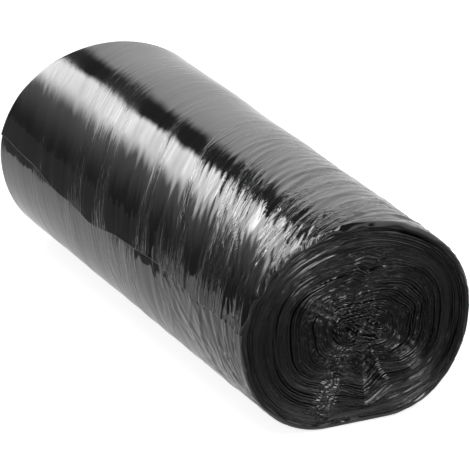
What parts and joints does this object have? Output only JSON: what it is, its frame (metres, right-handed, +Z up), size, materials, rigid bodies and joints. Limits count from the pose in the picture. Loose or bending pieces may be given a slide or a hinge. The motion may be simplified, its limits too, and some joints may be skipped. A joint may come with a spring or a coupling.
{
  "type": "bin bag roll",
  "caption": "Coreless roll of folded black refuse sacks, squashed a little by its own weight, with wound turns, a sunken flat core and a loose tail along its side.",
  "frame": {"origin": "under the middle of the roll, on the surface it lies on", "axes": "+X along the roll, +Z up from the surface, so +Y points to the side away from the loose tail"},
  "size_m": [0.175, 0.0752, 0.063],
  "materials": {
    "black_film": "gloss"
  },
  "bodies": {
    "root": {"bag_roll": "black_film"}
  },
  "joints": []
}
